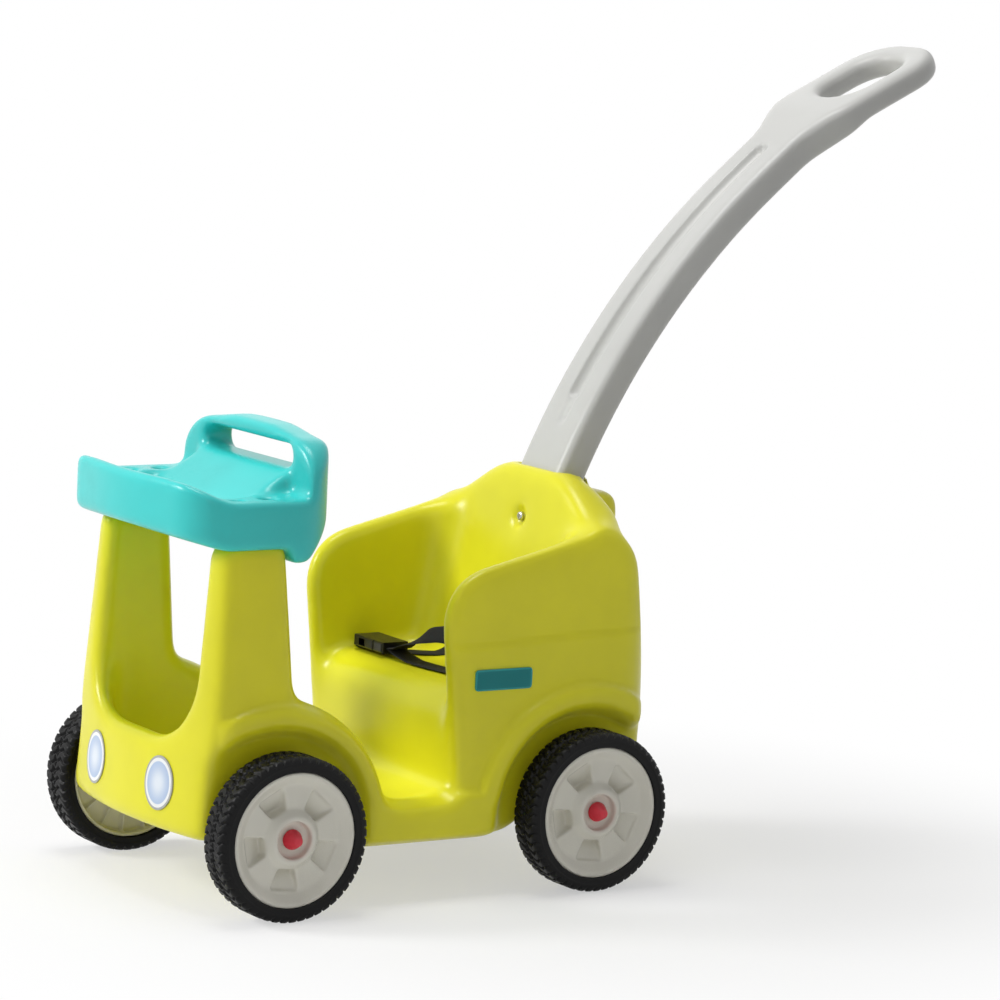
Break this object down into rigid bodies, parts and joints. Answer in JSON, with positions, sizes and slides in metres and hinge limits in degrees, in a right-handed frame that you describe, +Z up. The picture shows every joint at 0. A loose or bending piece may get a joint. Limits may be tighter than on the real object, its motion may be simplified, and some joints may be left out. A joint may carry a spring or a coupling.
{
  "type": "ride-on push car",
  "caption": "Ride-on push car with a hollow moulded body, dash tray with grab arch, rear push handle with grip loop, rolling wheels and a seat belt that unclips.",
  "frame": {"origin": "on the ground, in the middle of the car's width and of its overall length with the handle", "axes": "+Z up, the car faces -Y, the car's left side is +X"},
  "size_m": [0.419, 1.044, 0.9271],
  "materials": {
    "shell_yellow": "satin moulded polyethylene",
    "tray_turquoise": "satin moulded polyethylene",
    "handle_grey": "satin moulded polyethylene",
    "rim_grey": "satin moulded plastic",
    "tyre_black": "moulded tread, satin side",
    "cap_red": "gloss moulded plastic",
    "lamp_white": "printed film",
    "badge_teal": "printed film, lettering left off",
    "steel": "zinc plated",
    "strap_black": "woven webbing",
    "buckle_black": "satin moulded plastic"
  },
  "bodies": {
    "car": {"axle_washers": "steel", "badge_left": "badge_teal", "badge_right": "badge_teal", "belt_anchor_screws": "steel", "belt_anchor_washers": "steel", "belt_strap_left": "strap_black", "belt_strap_right": "strap_black", "body_shell": "shell_yellow", "buckle_housing": "buckle_black", "dash_tray": "tray_turquoise", "front_axle": "steel", "front_left_axle_cap": "cap_red", "front_right_axle_cap": "cap_red", "handle_nut": "steel", "handle_screw": "steel", "headlight_left": "lamp_white", "headlight_right": "lamp_white", "push_handle": "handle_grey", "rear_axle": "steel", "rear_left_axle_cap": "cap_red", "rear_right_axle_cap": "cap_red", "tray_screws": "steel"},
    "front_left_wheel": {"front_left_rim": "rim_grey", "front_left_tyre": "tyre_black"},
    "front_right_wheel": {"front_right_rim": "rim_grey", "front_right_tyre": "tyre_black"},
    "rear_left_wheel": {"rear_left_rim": "rim_grey", "rear_left_tyre": "tyre_black"},
    "rear_right_wheel": {"rear_right_rim": "rim_grey", "rear_right_tyre": "tyre_black"},
    "plug": {"buckle_plug": "buckle_black"},
    "front_arm": {"buckle_arm_front": "buckle_black"},
    "rear_arm": {"buckle_arm_rear": "buckle_black"}
  },
  "joints": [
    {"name": "front_left_roll", "type": "hinge", "parent": "car", "child": "front_left_wheel", "pos_m": [0.18, -0.403, 0.0889], "axis": [1, 0, 0], "continuous": true},
    {"name": "front_right_roll", "type": "hinge", "parent": "car", "child": "front_right_wheel", "pos_m": [-0.18, -0.403, 0.0889], "axis": [1, 0, 0], "continuous": true},
    {"name": "rear_left_roll", "type": "hinge", "parent": "car", "child": "rear_left_wheel", "pos_m": [0.18, -0.017, 0.0889], "axis": [1, 0, 0], "continuous": true},
    {"name": "rear_right_roll", "type": "hinge", "parent": "car", "child": "rear_right_wheel", "pos_m": [-0.18, -0.017, 0.0889], "axis": [1, 0, 0], "continuous": true},
    {"name": "plug_slide", "type": "slide", "parent": "car", "child": "plug", "axis": [1, 0, 0], "range_m": [0, 0.04], "deforming": ["belt_strap_left"]},
    {"name": "front_arm_squeeze", "type": "hinge", "parent": "plug", "child": "front_arm", "pos_m": [-0.0756, -0.1422, 0.2335], "axis": [0, 0, 1], "range_deg": [-6, 0], "stiffness_Nm_per_rad": 0.05},
    {"name": "rear_arm_squeeze", "type": "hinge", "parent": "plug", "child": "rear_arm", "pos_m": [-0.0756, -0.1158, 0.2335], "axis": [0, 0, 1], "range_deg": [0, 6], "stiffness_Nm_per_rad": 0.05}
  ]
}
